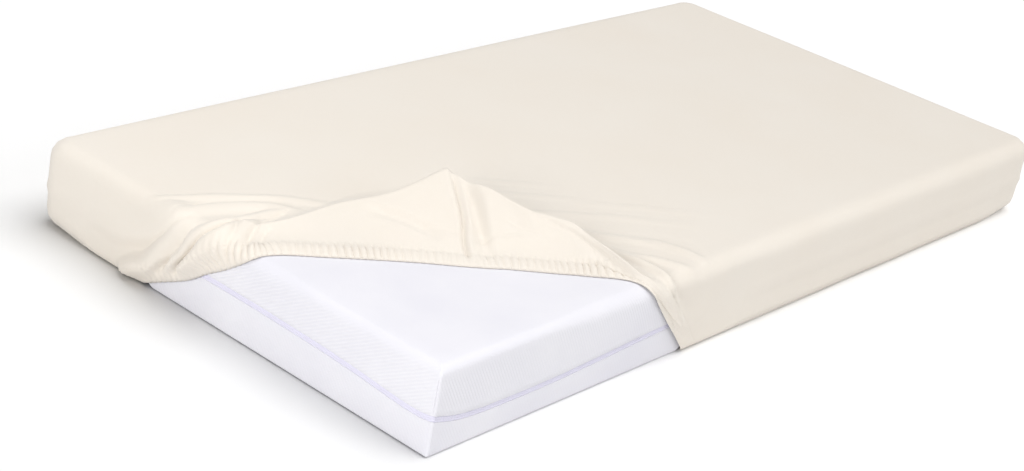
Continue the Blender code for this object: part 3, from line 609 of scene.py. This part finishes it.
def openSections():
    # the tables' curves, read at even steps along the hem, and the seam's place along it
    shares = np.linspace(0.0, 1.0, grid["curveSteps"])
    left, right = (curveThrough(rows, shares) for rows in (leftSections, rightSections))
    dense = np.concatenate([left, right[1:]])
    steps = np.linalg.norm(np.diff(dense[:, :2], axis=0), axis=1)
    along = np.concatenate([[0.0], np.cumsum(steps)])
    where = np.linspace(0.0, along[-1], grid["openStations"] * 2 + 1)
    columns = [np.interp(where, along, dense[:, index]) for index in range(dense.shape[1])]
    return dict(zip(sectionColumns, columns)), where, along[len(left) - 1]


def openCorner():
    # the cloth's inner face where the corner is off, a column for each section
    sections, along, seamAt = openSections()
    first, second, near, far = rowDistances(sections)
    hem, edge, inner = (np.stack([sections[name + "A"], sections[name + "B"]], -1)[:, None, :]
                        for name in ("hem", "edge", "inner"))
    place = hem + (edge - hem) * (near / first)[..., None] + (inner - edge) * (far / second)[..., None]
    names = ("rise", "roll", "round", "sag", "free")
    rise, roll, soft, sag, free = (sections[name][:, None] for name in names)
    fall = np.minimum(sections["fall"][:, None], second * grid["behindShare"])
    band = np.minimum(sheet["band"], first * sheet["bandShare"])
    front = np.clip((near - band) / (first - band), 0.0, 1.0)
    beforeEdge = far <= 0.0
    curl = np.clip(near / band, 0.0, 1.0) * math.pi * sheet["bandCurl"]
    puff = sheet["bandPuff"] * free * np.sin(curl)
    reach = np.clip(far / fall, 0.0, 1.0)
    behind = (1.0 - reach) ** 2 * (1 - soft) + (0.5 + 0.5 * np.cos(math.pi * reach)) * soft
    lift = np.where(beforeEdge, puff * (1 - front) ** 3 + rise * front ** (1 + sag), rise * behind)
    drawn = roll * np.sin(math.pi * front) * beforeEdge
    inward = (inner - hem) / np.linalg.norm(inner - hem, axis=-1, keepdims=True)
    place = place + inward * drawn[..., None]
    lift = lift + foldLift(place[..., 0], place[..., 1]) * smoothStep(near, 0.0, band)
    along = along[:, None] + np.zeros_like(near)
    calm = gathers["seamShare"] * np.exp(-((along - seamAt) / gathers["seamReach"]) ** 2)
    gathered = free * (1 - calm) * beforeEdge * (1 - smoothStep(front, *gathers["panelFade"]))
    run = np.gradient(hem[:, 0], axis=0)
    run = run / np.linalg.norm(run, axis=1, keepdims=True)
    lean = ((edge - hem)[:, 0] * run).sum(1, keepdims=True) / first  # keeps the ribs square to the hem
    lift = lift + gatherLift(along + near * lean, near) * gathered
    point, outward = wrapCloth(place[..., 0], place[..., 1])
    lift = np.maximum(lift, -sheet["deepest"])
    lift = lift * smoothStep(point[..., 2], sheet["floor"], sheet["settledBelow"])
    sideways = np.clip(1 - outward[..., 2], 0.0, 1.0)
    pressed = sheet["hemPress"] * (1 - smoothStep(near, 0.0, sheet["hemPressReach"]))
    lift = lift - pressed * sideways * free
    return point + outward * lift[..., None], place, np.stack([along, near + far], -1)


# Places round the mattress, with the height of the zip's middle there.
zipRound = np.array((
    (-600, -300, 44), (-588, -300, 41.2), (-573, -300, 37.2), (-556, -300, 34.2), (-522, -300, 31.5),
    (-460, -300, 30.9), (-400, -300, 31.8), (-330, -300, 35), (-260, -300, 38.8), (-150, -300, 43.5),
    (0, -300, 47), (600, -300, 48), (600, 300, 48), (-600, 300, 48), (-600, 50, 50.2),
    (-600, -50, 50.2), (-600, -150, 48.2), (-600, -200, 45.5), (-600, -235, 42.8), (-600, -262, 41.1),
    (-600, -282, 41.3), (-600, -300, 44)
)) / 1000


def zipHeight(x, y):
    # the height of the zip's middle, read along the sides from those places
    best = np.full(np.shape(x), 1e9)
    height = np.zeros(np.shape(x))
    for (x0, y0, z0), (x1, y1, z1) in zip(zipRound, zipRound[1:]):
        span = math.hypot(x1 - x0, y1 - y0)
        share = np.clip(((x - x0) * (x1 - x0) + (y - y0) * (y1 - y0)) / span**2, 0.0, 1.0)
        away = np.hypot(x - x0 - share * (x1 - x0), y - y0 - share * (y1 - y0))
        height = np.where(away < best, z0 + (z1 - z0) * share, height)
        best = np.minimum(best, away)
    return height


def towards(degrees):
    turn = math.radians(degrees)
    return np.array([math.cos(turn), math.sin(turn)])


def coveredStations():
    # stations round the three covered corners: the point that the cloth fans out from, the one that the hem
    # underneath turns round, the way out, and the place where the flat top starts
    reachX = halfLength + sheet["sideGap"] - sheet["hemInset"] - sheet["hemCorner"]
    reachY = halfWidth + sheet["sideGap"] - sheet["hemInset"] - sheet["hemCorner"]
    front = dict(zip(sectionColumns, rightSections[-1]))
    left = dict(zip(sectionColumns, leftSections[0]))
    flatX, flatY = sheet["flatX"], sheet["flatY"]
    posts = np.array((
        ((front["edgeA"], -coreY), (front["hemA"], -reachY), (front["innerA"], front["innerB"])),
        ((coreX, -coreY), (reachX, -reachY), (flatX, -flatY)),
        ((coreX, coreY), (reachX, reachY), (flatX, flatY)),
        ((-coreX, coreY), (-reachX, reachY), (-flatX, flatY)),
        ((-coreX, left["edgeB"]), (-reachX, left["hemB"]), (left["innerA"], left["innerB"])),
    ))
    stations = []
    cornerColumns = grid["cornerColumns"]
    for index, columns in enumerate(grid["coveredColumns"]):
        post, following = posts[index], posts[index + 1]
        if index:
            for step in range(cornerColumns + 1):
                way = towards(90 * (index - 2) + 90 * step / cornerColumns)
                stations.append((post[0], post[1], way, post[2] + way * sheet["flatCorner"]))
        way = towards(90 * (index - 1))
        leave, arrive = (way * sheet["flatCorner"] * turned for turned in (index > 0, index < 3))
        for step in range(1, columns):
            share = step / columns
            core, under, flat = post * (1 - share) + following * share
            stations.append((core, under, way, flat + leave * (1 - share) + arrive * share))
    return stations


relief = {
    "zipRidge": 0.0017,  # the zip shows through the cloth
    "zipReach": 0.0050,
    "swell": 0.0006,  # a faint swelling of the cover above it
    "swellAbove": 0.012,
    "swellReach": 0.020,
    "lump": 0.0022,  # a small lump on the zip near the front side's far end
    "lumpAt": 0.545,
    "lumpReach": 0.009,
    "bow": 0.0006,
    "waves": 0.0005,
    "wavelength": 0.22,
}


def reliefAt(point, outward, onFront):
    # how far the covered sides' cloth stands off its even place
    above = point[:, 2] - zipHeight(point[:, 0], point[:, 1])
    lift = relief["zipRidge"] * np.exp(-(above / relief["zipReach"]) ** 2)
    fromSwell = (above - relief["swellAbove"]) / relief["swellReach"]
    lift += relief["swell"] * np.exp(-fromSwell**2)
    if onFront:
        away = np.hypot(point[:, 0] - relief["lumpAt"], above)
        lift += relief["lump"] * np.exp(-(away / relief["lumpReach"]) ** 2)
    waves = unevenness(point[:, 0] + point[:, 2], point[:, 1], relief["wavelength"], 3.0)
    lift += (relief["bow"] + relief["waves"] * waves) * np.clip(1 - outward[:, 2], 0.0, 1.0)
    return lift * smoothStep(point[:, 2], sheet["floor"], sheet["settledBelow"])


def coveredSides():
    # the cloth where it is on, round three corners, with the same rows as the open corner
    skirt = sheet["skirt"]
    points, places, hems = [], [], []
    alongHem, lastOuter = 0.0, None
    for core, under, way, flat in coveredStations():
        line = core + way * turnRadius
        bend, _, underStart = lowerEdge(*core)
        tuck = skirt - underStart
        foot = core + way * (sheet["fan"] - bend)
        hem = under + way * sheet["hemCorner"]
        edge = line + way * edgeEnd
        outer = line + way * skirt
        sections = {"hemA": outer[:1], "hemB": outer[1:], "edgeA": edge[:1], "edgeB": edge[1:],
                    "innerA": flat[:1], "innerB": flat[1:], "fall": np.array([sheet["coveredFall"]])}
        first, second, near, far = rowDistances(sections)
        place = outer + (edge - outer) * (near / first).T + (flat - edge) * (far / second).T
        point, outward = wrapCloth(place[:, 0], place[:, 1])
        tucked = (near[0] < tuck) & (far[0] <= 0)
        plan = hem + (foot - hem) * (near[0] / tuck)[:, None]
        point[tucked, :2] = plan[tucked]
        onFront = way[1] < -0.99  # the way out is square to the front side
        points.append(point + outward * reliefAt(point, outward, onFront)[:, None])
        places.append(place)
        if lastOuter is not None:
            alongHem += float(np.linalg.norm(outer - lastOuter))
        lastOuter = outer
        hems.append(np.stack([np.full(len(place), alongHem), (near + far)[0]], -1))
    return np.array(points), np.array(places), np.array(hems)


def setUv(mesh, name, values):
    layer = mesh.uv_layers.new(name=name)
    index = np.zeros(len(mesh.loops), int)
    mesh.loops.foreach_get("vertex_index", index)
    layer.data.foreach_set("uv", values[index].astype(np.float32).ravel())


def thinOut(index, row, step):
    # faces with five corners, where each two columns of point numbers go on as one
    return [(*index[column:column + step + 1:step // 2, row], index[column + step, row + 1],
             index[column, row + 1]) for column in range(0, len(index) - step, step)]


def clothFaces(openColumns, coveredColumns, rows):
    # one closed sheet: the open corner's columns, twice as many near the hem and half as many on the flat
    # top, then the covered sides' and one face on top between them all
    fineRows = grid["fineRows"]
    flatFrom = rows - grid["flatRows"] - 1
    step = grid["coveredStep"]
    kept = list(range(0, flatFrom, step)) + list(range(flatFrom, rows - 1, step * 4)) + [rows - 1]
    used = np.zeros((openColumns, rows), bool)
    used[::4, :] = True
    used[::2, :flatFrom + 1] = True
    used[:, :fineRows] = True
    opened = np.full((openColumns, rows), -1)
    opened[used] = np.arange(int(used.sum()))
    covered = np.full((coveredColumns, rows), -1)
    covered[:, kept] = int(used.sum()) + np.arange(coveredColumns * len(kept)).reshape(coveredColumns, -1)
    faces = quadsBetween(opened, range(fineRows))
    faces += thinOut(opened, fineRows - 1, 2) + quadsBetween(opened[::2], range(fineRows, flatFrom + 1))
    faces += thinOut(opened, flatFrom, 4) + quadsBetween(opened[::4], range(flatFrom + 1, rows))
    faces += quadsBetween(covered, kept)
    for row, nextRow in zip(kept, kept[1:]):
        faces.append((*opened[-1, row:nextRow + 1][::-1], covered[0, row], covered[0, nextRow]))
        faces.append((*opened[0, row:nextRow + 1], covered[-1, nextRow], covered[-1, row]))
    faces.append((*opened[::4, -1], *covered[:, -1]))
    return faces, used, kept


def makeSheet(material):
    opened, openPlaces, openHems = openCorner()
    covered, coveredPlaces, coveredHems = coveredSides()
    coveredHems[..., 0] += openHems[-1, 0, 0] + 0.03  # the hem's pattern goes on a little after the open hem
    faces, used, kept = clothFaces(len(opened), len(covered), opened.shape[1])
    points, places, hems = (
        np.concatenate([first[used], second[:, kept].reshape(-1, first.shape[-1])])
        for first, second in ((opened, covered), (openPlaces, coveredPlaces), (openHems, coveredHems)))
    piece = newPiece("fittedSheetCloth", points, faces, material)
    setUv(piece.data, "cloth", places)
    setUv(piece.data, "hem", hems)
    cloth = piece.modifiers.new("thickness", "SOLIDIFY")
    cloth.thickness = sheet["thickness"]
    cloth.offset = 1.0
    cloth.use_quality_normals = True
    bpy.ops.object.modifier_apply(modifier="thickness")
    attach(piece, "root")
    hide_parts("fitted_sheet")


# The mattress

mattress = {
    "bareCorner": 0.0045,
    "coveredCorner": 0.026,
    "leastCorner": 0.0006,
    "bareEdge": 0.011,  # the top edge's rounding at the bare corner
    "coveredEdge": 0.017,
    "bareWithin": 0.17,
    "coveredFrom": 0.24,
    "bareBottomEdge": 0.0035,
    "sideBottomEdge": 0.012,
    "bottomEdge": 0.022,
    "lowerInset": 0.0015,
    "tuckedFromY": 0.108,  # from here the hem runs under the mattress
    "tuckedFromX": -0.192,
    "tuckedWithin": 0.014,
    "tuckedFloor": 0.0018,
    "undersideInset": 0.068,  # outside this the underside is raised, where the hem is tucked below it
    "undersideStep": 0.008,
    "zipWidth": 0.0066,
    "rebate": 0.0050,
    "splitHeight": 0.040,  # where the two halves meet inside, behind the zip
    "splitInset": 0.016,
    "splitGap": 0.0003,
    "zipInset": 0.0010,
    "hairline": 0.0001,  # between the zip and the covers
    "upperLip": 0.0009,  # the covers' edges roll in over the zip
    "lipGap": 0.0004,
    "lowerLip": 0.0008,
    "swell": 0.0006,  # how far the upper half's sides stand out at their middle
    "crown": 0.0002,
    "crownReach": 0.10,
    "edgeDegrees": 84,
    "seamDepth": 0.0010,  # the upper cover is sewn up at its near corner
    "seamTurn": 215.0,
    "seamSpread": 7.0,
    "seamFade": 0.004,
}
# Columns are close together within fineReach of the bare corner.
mattressMesh = {
    "fineReach": 0.46,
    "fineColumns": 90,
    "bareCornerColumns": 18,
    "cornerColumns": 8,
    "sideRows": 9,
}


def outline():
    # stations round the mattress: the corner each turns round, the next one, the share of the way there, and
    # its outward turn
    stations = []
    corners = ((-1, -1), (1, -1), (1, 1), (-1, 1))
    fineReach = mattressMesh["fineReach"]
    nearShares = np.linspace(0.0, 1.0, mattressMesh["fineColumns"])[1:] * fineReach
    for index, place in enumerate(corners):
        following = corners[(index + 1) % 4]
        start = math.radians(180 + 90 * index)
        steps = mattressMesh["cornerColumns" if index else "bareCornerColumns"]
        turns = start + math.radians(90) * np.arange(steps + 1) / steps
        stations += [(place, place, 0.0, turn) for turn in turns]
        length = 2 * (halfLength if index % 2 == 0 else halfWidth)
        shares = list(np.linspace(0.0, 1.0, 9)[1:-1])
        if index == 0:
            shares = list(nearShares / length) + list(np.linspace(fineReach / length, 1.0, 9)[1:-1])
        elif index == 3:
            shares = list(np.linspace(0.0, 1 - fineReach / length, 5)[1:])
            shares += list(1 - nearShares[::-1] / length)[1:]
        stations += [(place, following, share, start + math.radians(90)) for share in shares]
    return stations


def outlinePoint(station, inset):
    # a station's point, on an outline that is this far in from the mattress's sides
    corner, following, share, turn = station
    ends = []
    for x, y in (corner, following):
        radius = mattress["bareCorner" if (x, y) == (-1, -1) else "coveredCorner"]
        radius = max(radius - inset, mattress["leastCorner"])
        ends.append((x * (halfLength - inset - radius), y * (halfWidth - inset - radius), radius))
    centreX, centreY, radius = (start + (end - start) * share for start, end in zip(*ends))
    return centreX + radius * math.cos(turn), centreY + radius * math.sin(turn)


def loftPiece(name, stations, sectionAt, material, ring=False):
    # a piece of the mattress from its sections round the outline, each a list of insets and heights
    points = np.array([[(*outlinePoint(station, inset), height) for inset, height in sectionAt(station)]
                       for station in stations])
    count, rows = points.shape[:2]
    index = np.arange(count * rows).reshape(count, rows)
    order = list(range(rows)) + ([0] if ring else [])
    faces = quadsBetween(np.concatenate([index, index[:1]]), order)
    if not ring:
        faces += [index[:, 0], index[:, -1]]
    return newPiece(name, points.reshape(-1, 3), faces, material)


def upperSection(station):
    shape = mattress
    x, y = outlinePoint(station, 0.0)
    fromCorner = math.hypot(x + halfLength, y + halfWidth)
    bare = 1.0 - float(smoothStep(fromCorner, shape["bareWithin"], shape["coveredFrom"]))
    edge = shape["coveredEdge"] + (shape["bareEdge"] - shape["coveredEdge"]) * bare
    low = float(zipHeight(x, y)) + shape["zipWidth"] / 2
    lip, gap = shape["upperLip"], shape["lipGap"]
    rows = [(shape["splitInset"], shape["splitHeight"] + shape["splitGap"]), (shape["rebate"], low),
            (shape["zipInset"], low + shape["hairline"])]
    for angle in np.radians((60, 30, 0)):
        share = math.sin(angle)
        rows.append((lip * (1 - math.cos(angle)) + gap * share, low + gap + lip * (1 - share)))
    side = topHeight - edge
    base = low + gap + lip
    for share in np.linspace(0.0, 1.0, mattressMesh["sideRows"])[1:-1]:
        rows.append((shape["swell"] * (1 - math.sin(math.pi * share)), base + (side - base) * share))
    if station[0] == (-1, -1) and station[2] == 0.0:
        off = (math.degrees(station[3]) - shape["seamTurn"]) / shape["seamSpread"]
        seam = shape["seamDepth"] * math.exp(-off * off)
        rows = [(inset + seam * float(smoothStep(height, low, low + shape["seamFade"])), height)
                for inset, height in rows]
    last = math.radians(shape["edgeDegrees"])
    for angle in np.linspace(0, last, 8):
        rows.append((shape["swell"] + edge * (1 - math.cos(angle)),
                     side + edge * math.sin(angle) - shape["crown"] * angle / last))
    inset, height = rows[-1]
    for share in (0.15, 0.35, 0.6, 1.0):
        rows.append((inset + shape["crownReach"] * share,
                     height + (topHeight - height) * (1 - (1 - share) ** 2)))
    return rows


def lowerSection(station):
    shape = mattress
    x, y = outlinePoint(station, 0.0)
    pastHem = max(y - shape["tuckedFromY"], x - shape["tuckedFromX"])
    tucked = float(smoothStep(pastHem, 0.0, shape["tuckedWithin"]))
    floor = shape["tuckedFloor"] * tucked
    edge = shape["bareBottomEdge"]
    edge += (shape["sideBottomEdge"] - edge) * tucked
    edge += (shape["bottomEdge"] - edge) * float(coveredCornerNear(x, y))
    high = float(zipHeight(x, y)) - shape["zipWidth"] / 2
    inset, lip = shape["lowerInset"], shape["lowerLip"]
    rows = [(shape["undersideInset"] + shape["undersideStep"], 0.0), (shape["undersideInset"], floor)]
    for angle in np.radians(np.linspace(0, 90, 7)):
        rows.append((inset + edge * (1 - math.sin(angle)), floor + edge * (1 - math.cos(angle))))
    low = rows[-1][1]
    for share in np.linspace(0.0, 1.0, mattressMesh["sideRows"])[1:-1]:
        rows.append((inset, low + (high - lip - low) * share))
    for angle in np.radians((0, 30, 60, 90)):
        rows.append((inset + lip * (1 - math.cos(angle)), high - lip * (1 - math.sin(angle))))
    return rows + [(shape["rebate"], high), (shape["splitInset"], shape["splitHeight"])]


# Half of the zip's section, from its middle: shares of its half width, and insets.
tapeProfile = ((0.0, 0.0016), (0.05, 0.0014), (0.15, 0.0012), (0.50, 0.0012), (0.90, 0.0015), (0.98, 0.0018),
               (1.0, 0.0044))


def tapeSection(station):
    # two rounded tapes that meet in a fine groove
    middle = float(zipHeight(*outlinePoint(station, 0.0)))
    half = mattress["zipWidth"] / 2 - mattress["hairline"]
    below = [(inset, middle - half * share) for share, inset in tapeProfile[:0:-1]]
    return below + [(inset, middle + half * share) for share, inset in tapeProfile]


# The knit's ribs on each face: their slope down from level, in degrees, towards +Y or +X, and their pitch.
ribFaces = {"leftUpper": (30.0, 0.0036), "leftLower": (129.0, 0.0040), "front": (59.0, 0.0034)}
ribFade = {
    "topFrom": 0.014,  # below the top
    "topTo": 0.002,
    "frontFrom": 0.012,  # from the front side
    "frontTo": 0.004,
    "lowerShare": 0.5,
    "frontShare": 0.5,
}


def makeRibMap(piece):
    # lays the knit's pattern on each side, across the ribs and along them
    mesh = piece.data
    points = np.zeros(len(mesh.vertices) * 3)
    mesh.vertices.foreach_get("co", points)
    points = points.reshape(-1, 3)
    uv = np.zeros((len(mesh.loops), 2), np.float32)
    for face in mesh.polygons:
        onLeft = abs(face.normal.x) > abs(face.normal.y)
        isLower = face.center.z < zipHeight(face.center.x, face.center.y)
        slope, pitch = ribFaces["front" if not onLeft else "leftLower" if isLower else "leftUpper"]
        sine, cosine = math.sin(math.radians(slope)), math.cos(math.radians(slope))
        for loop in face.loop_indices:
            x, y, z = points[mesh.loops[loop].vertex_index]
            run = y if onLeft else x
            uv[loop] = ((run * sine + z * cosine) * knitLook["ribPitch"] / pitch, run * cosine - z * sine)
    mesh.uv_layers.new(name="ribs").data.foreach_set("uv", uv.ravel())
    # the ribs' depth, fading below the top and weaker below the zip and on the front side; it also sets the
    # painted shade in the ribs' hollows and the painted highlight on their crests
    upper = points[:, 2] > zipHeight(points[:, 0], points[:, 1])
    side = 1.0 - smoothStep(points[:, 2], topHeight - ribFade["topFrom"], topHeight - ribFade["topTo"])
    onFront = smoothStep(-points[:, 1], halfWidth - ribFade["frontFrom"], halfWidth - ribFade["frontTo"])
    ribDepthAndShade = np.where(upper, side, ribFade["lowerShare"]) * (1 - ribFade["frontShare"] * onFront)
    attribute = mesh.attributes.new("ribDepth", "FLOAT", "POINT")
    attribute.data.foreach_set("value", ribDepthAndShade.astype(np.float32))


def makeMattress(knit, tape):
    stations = outline()
    upper = loftPiece("mattressUpperCover", stations, upperSection, knit)
    lower = loftPiece("mattressLowerCover", stations, lowerSection, knit)
    zipPiece = loftPiece("mattressZip", stations, tapeSection, tape, ring=True)
    for piece, node in ((upper, "mattress_upper"), (lower, "mattress_lower")):
        makeRibMap(piece)
        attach(piece, "root")
        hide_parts(node)
    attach(zipPiece, "root")
    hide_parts("zip_tape")


# The studio

studio = {"floor": "#ffffff", "floorSize": 40, "floorDrop": 0.0004, "air": 0.35}


def makeFloor():
    # white paper, fully matt
    material, tree = newMaterial("studioPaper")
    addNode(tree, "Principled BSDF", {
        "Base Color": linearColour(studio["floor"]), "Roughness": 1.0, "Specular IOR Level": 0.0})
    bpy.ops.mesh.primitive_plane_add(size=studio["floorSize"], location=(0, 0, -studio["floorDrop"]))
    floor = bpy.context.active_object
    floor.name = "studioFloor"
    floor.data.materials.append(material)
    return floor


# Soft suns: where the light comes from, its strength and how wide its source looks, in degrees.
suns = {
    "overhead": ((0.30, -0.20, 1.0), 2.05, 60.0),
    "frontKey": ((0.50, -1.0, 0.45), 0.48, 30.0),
}
window = {"place": (-2.95, -0.7, 1.15), "aim": (-0.3, 0.0, 0.05), "power": 44.0, "size": 1.0}


def addLight(name, kind, energy, way):
    data = bpy.data.lights.new(name, kind)
    data.energy = energy
    light = bpy.data.objects.new(name, data)
    bpy.context.scene.collection.objects.link(light)
    light.rotation_euler = way.to_track_quat("-Z", "Y").to_euler()
    return light


def makeLights(floor):
    world = bpy.data.worlds.new("studioAir")
    bpy.context.scene.world = world
    world.use_nodes = True
    air = world.node_tree.nodes["Background"]
    air.inputs["Color"].default_value = (1.0, 1.0, 1.0, 1.0)
    air.inputs["Strength"].default_value = studio["air"]
    for name, (way, strength, width) in suns.items():
        addLight(name, "SUN", strength, -Vector(way)).data.angle = math.radians(width)
    light = addLight("window", "AREA", window["power"], Vector(window["aim"]) - Vector(window["place"]))
    light.location = window["place"]
    light.data.size = window["size"]
    light.visible_camera = False
    shaded = bpy.data.collections.new("keptOffTheWindow")  # keeps the window's light off the floor
    shaded.objects.link(floor)
    shaded.collection_objects[0].light_linking.link_state = "EXCLUDE"
    light.light_linking.receiver_collection = shaded
    bpy.context.scene.view_settings.view_transform = "Standard"


makeCamera()
print("camera placed")
makeSheet(makeJersey())
print("sheet made")
makeMattress(makeMattressKnit(), makeZipTape())
print("mattress made")
makeLights(makeFloor())
print("studio made")
